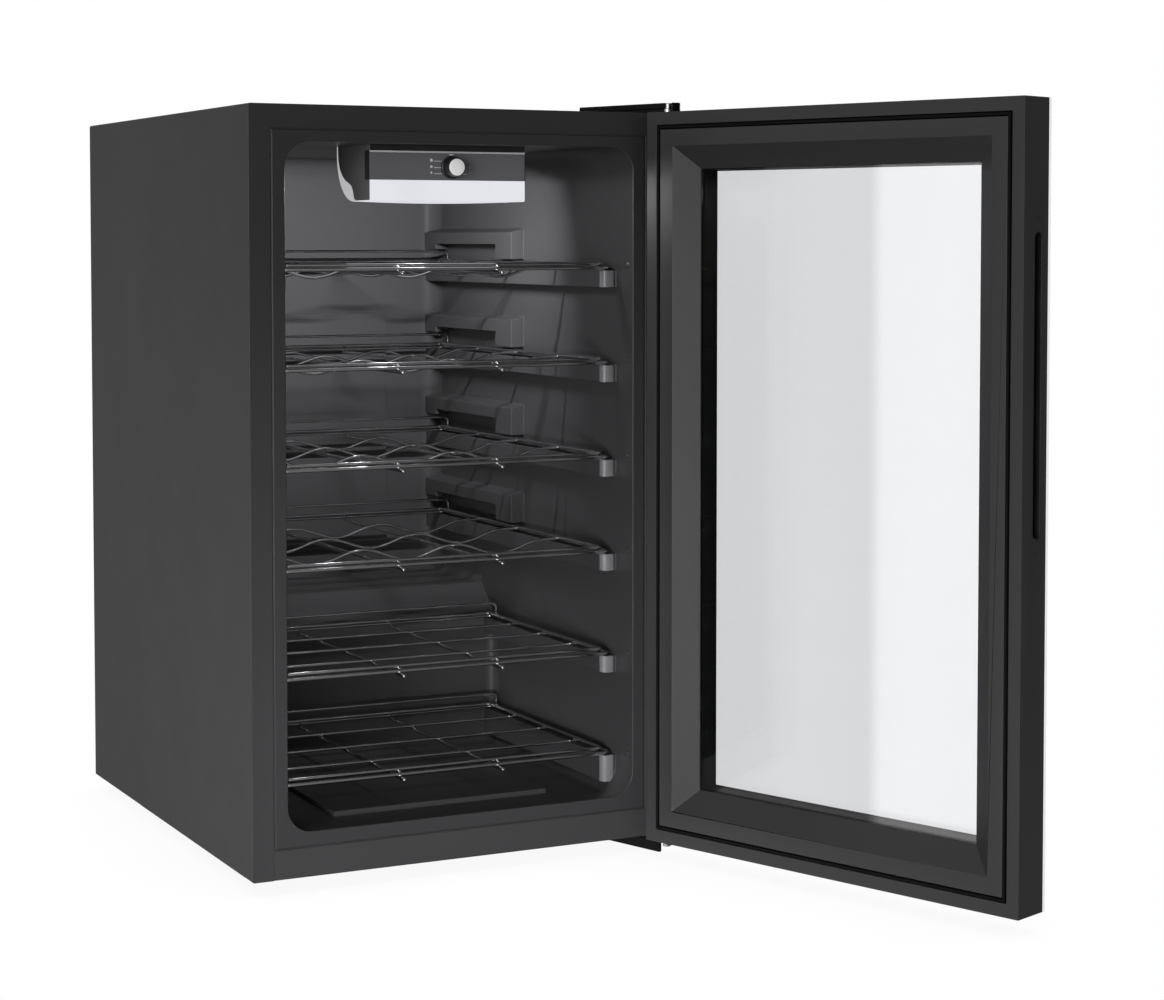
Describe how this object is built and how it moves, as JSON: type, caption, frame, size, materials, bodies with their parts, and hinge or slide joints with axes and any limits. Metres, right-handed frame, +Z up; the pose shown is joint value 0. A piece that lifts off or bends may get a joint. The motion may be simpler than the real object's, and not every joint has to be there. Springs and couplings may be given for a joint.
{
  "type": "wine cooler",
  "caption": "Free-standing compressor wine cooler with hinged glass door, sliding wire shelves, light and turning temperature knob.",
  "frame": {"origin": "on the floor under the middle of the cabinet", "axes": "+Z up, the door side faces -Y, +X towards the hinge side"},
  "size_m": [0.5876, 0.9686, 0.7397],
  "materials": {
    "black_steel": "fine matt powder coat",
    "bare_steel": "galvanised sheet",
    "liner": "thermoformed, satin",
    "foam": "rigid foam",
    "black_plastic": "moulded, fine grain",
    "door_black": "satin black",
    "fascia_grey": "satin grey",
    "diffuser": "translucent white",
    "board": "printed board",
    "control": "moulded",
    "knob": "satin metallised",
    "compressor_black": "gloss black",
    "rubber": "moulded",
    "copper": "drawn copper",
    "black_wire": "black enamel",
    "drain": "flexible tube",
    "hinge_black": "black zinc",
    "pin_steel": "polished",
    "screw_dark": "blackened",
    "chrome_wire": "bright chrome wire",
    "outer_glass": "tempered, dark printed border",
    "inner_glass": "clear",
    "spacer": "black warm-edge spacer",
    "bush": "acetal"
  },
  "bodies": {
    "cabinet": {"cabinet_wrapper": "black_steel", "front_rail": "black_steel", "rear_panel": "black_steel", "base_pan": "bare_steel", "foam_insulation": "foam", "inner_liner": "liner", "bay_partition": "bare_steel", "evaporator_plate": "liner", "thermostat_bulb": "copper", "control_housing": "black_plastic", "control_fascia": "fascia_grey", "light_diffuser": "diffuser", "led_board": "board", "thermostat_body": "control", "compressor_tray": "bare_steel", "compressor": "compressor_black", "compressor_grommets": "rubber", "terminal_box": "black_plastic", "condenser": "black_wire", "condenser_brackets": "black_wire", "filter_drier": "copper", "refrigerant_tubes": "copper", "drip_tray": "black_plastic", "drain_tube": "drain", "power_inlet": "black_plastic", "top_hinge_bracket": "hinge_black", "top_hinge_cover": "black_plastic", "top_hinge_pin": "pin_steel", "bottom_hinge_bracket": "hinge_black", "bottom_hinge_pin": "pin_steel", "hinge_screws": "screw_dark", "panel_screws": "screw_dark", "rear_feet": "black_plastic", "foot_nuts": "bare_steel"},
    "door": {"door_frame": "door_black", "outer_glass": "outer_glass", "inner_glass": "inner_glass", "glass_spacer": "spacer", "door_inner_frame": "door_black", "door_gasket": "rubber", "grip_recess": "black_plastic", "grip_plugs": "black_plastic", "hinge_bushes": "bush", "door_stop": "black_plastic"},
    "temperature_knob": {"temperature_knob": "knob"},
    "left_levelling_foot": {"left_levelling_foot": "black_plastic"},
    "right_levelling_foot": {"right_levelling_foot": "black_plastic"},
    "shelf_1": {"shelf_1": "chrome_wire"},
    "shelf_2": {"shelf_2": "chrome_wire"},
    "shelf_3": {"shelf_3": "chrome_wire"},
    "shelf_4": {"shelf_4": "chrome_wire"},
    "shelf_5": {"shelf_5": "chrome_wire"},
    "shelf_6": {"shelf_6": "chrome_wire"}
  },
  "joints": [
    {"name": "door_hinge", "type": "hinge", "parent": "cabinet", "child": "door", "pos_m": [0.206, -0.2859, 0.4], "axis": [0, 0, 1], "range_deg": [-110.35, 9.65]},
    {"name": "shelf_1_slide", "type": "slide", "parent": "cabinet", "child": "shelf_1", "axis": [0, -1, 0], "range_m": [0, 0.144]},
    {"name": "shelf_2_slide", "type": "slide", "parent": "cabinet", "child": "shelf_2", "axis": [0, -1, 0], "range_m": [0, 0.144]},
    {"name": "shelf_3_slide", "type": "slide", "parent": "cabinet", "child": "shelf_3", "axis": [0, -1, 0], "range_m": [0, 0.144]},
    {"name": "shelf_4_slide", "type": "slide", "parent": "cabinet", "child": "shelf_4", "axis": [0, -1, 0], "range_m": [0, 0.144]},
    {"name": "shelf_5_slide", "type": "slide", "parent": "cabinet", "child": "shelf_5", "axis": [0, -1, 0], "range_m": [0, 0.2]},
    {"name": "shelf_6_slide", "type": "slide", "parent": "cabinet", "child": "shelf_6", "axis": [0, -1, 0], "range_m": [0, 0.2]},
    {"name": "knob_turn", "type": "hinge", "parent": "cabinet", "child": "temperature_knob", "pos_m": [0.003, -0.2235, 0.676], "axis": [0, -1, 0], "range_deg": [-150, 150]},
    {"name": "left_foot_turn", "type": "hinge", "parent": "cabinet", "child": "left_levelling_foot", "pos_m": [-0.165, -0.1875, 0], "axis": [0, 0, 1], "continuous": true},
    {"name": "right_foot_turn", "type": "hinge", "parent": "cabinet", "child": "right_levelling_foot", "pos_m": [0.165, -0.1875, 0], "axis": [0, 0, 1], "continuous": true}
  ]
}
